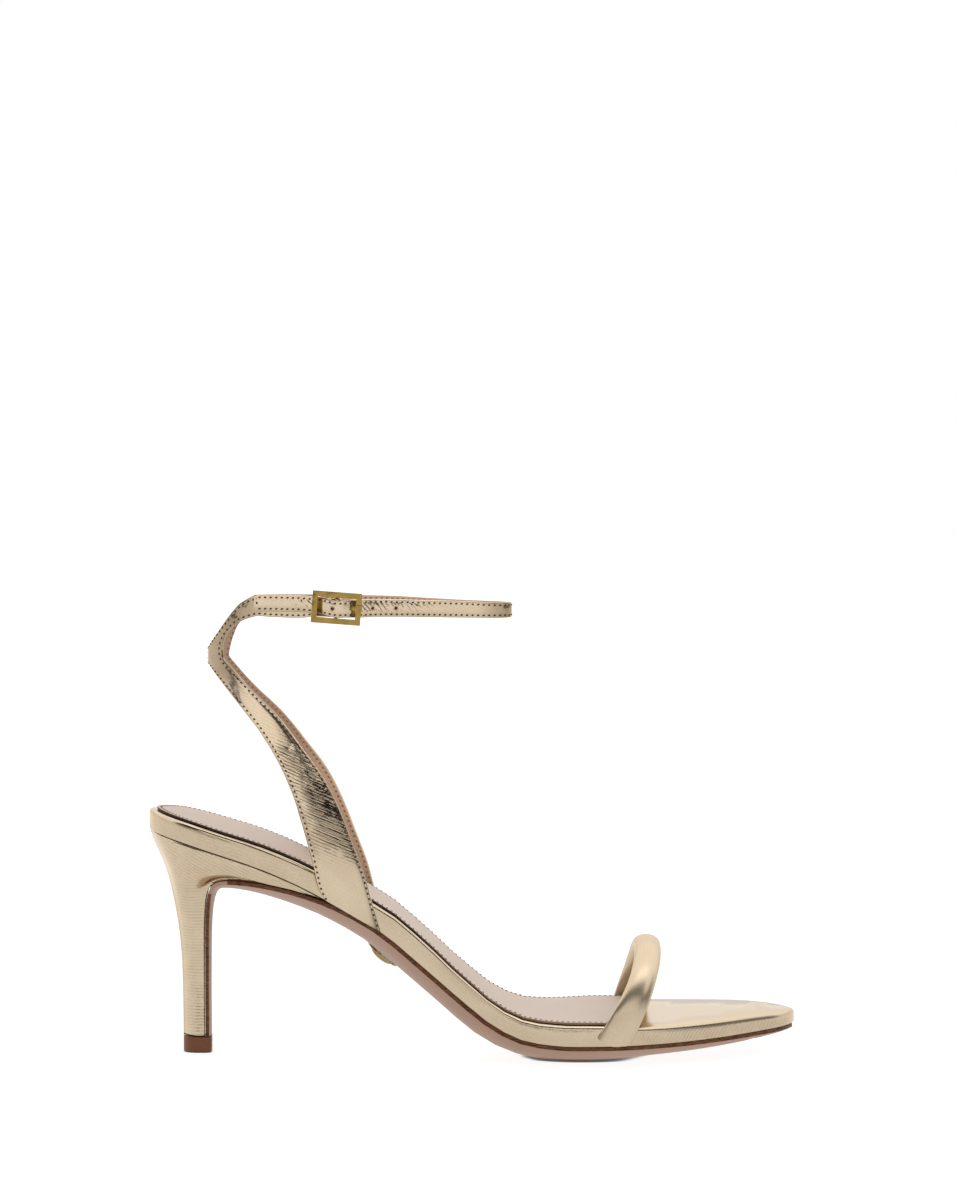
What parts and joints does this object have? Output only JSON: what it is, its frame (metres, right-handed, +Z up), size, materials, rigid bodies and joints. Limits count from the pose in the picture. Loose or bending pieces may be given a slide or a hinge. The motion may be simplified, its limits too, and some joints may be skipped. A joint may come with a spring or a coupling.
{
  "type": "strappy heeled sandal",
  "caption": "Heeled sandal with a padded strap over the toes, two quarter straps that join behind the ankle, and a buckled ankle strap.",
  "frame": {"origin": "centre of the bounding box in X and Y, on the floor", "axes": "+X from the heel towards the toe, +Y towards the inner side of the foot, +Z up"},
  "size_m": [0.2288, 0.0834, 0.1649],
  "materials": {
    "gold_leather": "metallic, crinkled",
    "blush_lining": "matte",
    "nude_sole": "smooth, matte",
    "brown_lift": "satin",
    "brass": "polished, light gold"
  },
  "bodies": {
    "root": {"footbed": "gold_leather", "sock_lining": "blush_lining", "outsole": "nude_sole", "heel": "gold_leather", "top_lift": "brown_lift", "toe_strap": "gold_leather", "upper": "gold_leather", "buckle": "brass", "prong": "brass", "arch_stud": "brass"}
  },
  "joints": []
}
